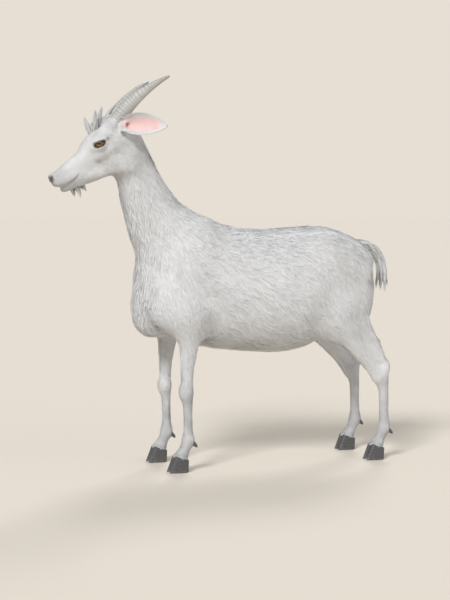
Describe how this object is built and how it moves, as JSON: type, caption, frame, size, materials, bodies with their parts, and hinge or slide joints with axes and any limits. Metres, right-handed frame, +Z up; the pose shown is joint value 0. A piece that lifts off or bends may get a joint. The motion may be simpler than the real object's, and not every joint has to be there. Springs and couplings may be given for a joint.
{
  "type": "goat",
  "caption": "Standing adult goat with short swept-back horns, spiky forelock and small beard, a still life-size display model.",
  "frame": {"origin": "on the ground, under the middle of the goat's bounding box", "axes": "+Z up, the goat faces -Y, its left side is +X"},
  "size_m": [0.2887, 1.0256, 1.0942],
  "materials": {
    "coat": "short light silver-grey hair, matt, slightly darker on the legs and belly",
    "horn": "light grey ridged horn, satin",
    "hoof": "dark slate-grey hoof horn, satin, fine growth rings",
    "eye": "amber iris with a level slot pupil under a clear wet cornea"
  },
  "bodies": {
    "root": {"beard": "coat", "dewclaw_fore_left_inner": "hoof", "dewclaw_fore_left_outer": "hoof", "dewclaw_fore_right_inner": "hoof", "dewclaw_fore_right_outer": "hoof", "dewclaw_hind_left_inner": "hoof", "dewclaw_hind_left_outer": "hoof", "dewclaw_hind_right_inner": "hoof", "dewclaw_hind_right_outer": "hoof", "ear_left": "coat", "ear_right": "coat", "eye_left": "eye", "eye_right": "eye", "forelock": "coat", "head": "coat", "hoof_fore_left_inner": "hoof", "hoof_fore_left_outer": "hoof", "hoof_fore_right_inner": "hoof", "hoof_fore_right_outer": "hoof", "hoof_hind_left_inner": "hoof", "hoof_hind_left_outer": "hoof", "hoof_hind_right_inner": "hoof", "hoof_hind_right_outer": "hoof", "horn_left": "horn", "horn_right": "horn", "leg_fore_left": "coat", "leg_fore_right": "coat", "leg_hind_left": "coat", "leg_hind_right": "coat", "neck": "coat", "tail": "coat", "trunk": "coat"}
  },
  "joints": []
}
